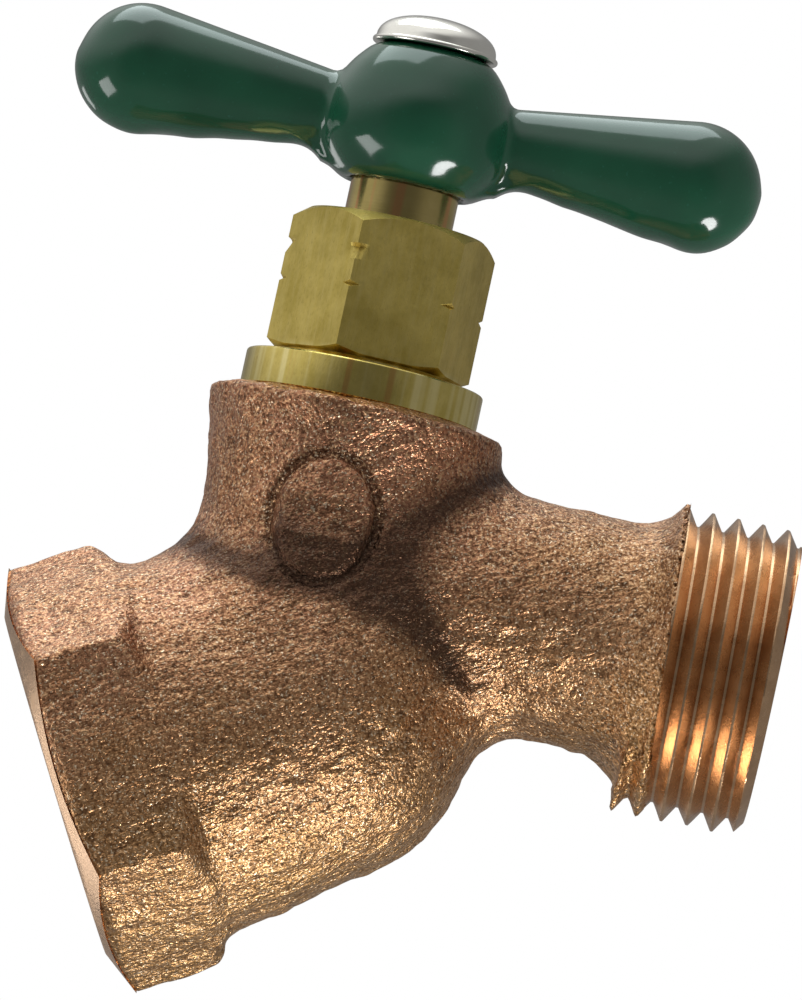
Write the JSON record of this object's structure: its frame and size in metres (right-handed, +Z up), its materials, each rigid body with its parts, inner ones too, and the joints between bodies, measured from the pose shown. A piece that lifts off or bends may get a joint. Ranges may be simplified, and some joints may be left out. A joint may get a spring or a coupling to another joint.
{
  "type": "hose bib",
  "caption": "Compression hose bib: hexagonal female inlet, leaning neck with a T handle on a rising stem, and a male hose-thread outlet that points down.",
  "frame": {"origin": "centre of the inlet mouth, where the supply pipe screws in", "axes": "+X into the bib along the inlet axis, away from the pipe; +Z up; the stem leans 29 degrees from +Z towards +X and the outlet points 29 degrees below +X"},
  "size_m": [0.0738, 0.0336, 0.0842],
  "materials": {
    "cast_bronze": "rough sand-cast red brass, with machined thread and faces",
    "turned_brass": "milled and turned yellow brass",
    "stem_brass": "fine turned brass",
    "graphite_packing": "matte pressed graphite",
    "black_rubber": "matte moulded rubber",
    "zinc_casting": "die-cast",
    "green_vinyl": "glossy dipped vinyl",
    "nickel_plate": "polished nickel plate"
  },
  "bodies": {
    "valve": {"valve_body": "cast_bronze", "packing_nut": "turned_brass", "packing_friction_ring": "turned_brass", "stem_packing": "graphite_packing", "packing_base_washer": "turned_brass"},
    "washer_lift": {"seat_washer": "black_rubber"},
    "stem_and_handle": {"stem": "stem_brass", "washer_screw": "stem_brass", "handle_core": "zinc_casting", "handle_coating": "green_vinyl", "handle_screw": "nickel_plate"}
  },
  "joints": [
    {"name": "stem_lift", "type": "slide", "parent": "valve", "child": "washer_lift", "axis": [0.4848, 0, 0.8746], "range_m": [0, 0.00571]},
    {"name": "stem_turn", "type": "hinge", "parent": "washer_lift", "child": "stem_and_handle", "pos_m": [0.0267, 0, 0.0098], "axis": [0.4848, 0, 0.8746], "range_deg": [0, 811]}
  ],
  "couplings": [
    {"joint": "stem_turn", "follows": "stem_lift", "rad_per_m": 2473.7}
  ]
}
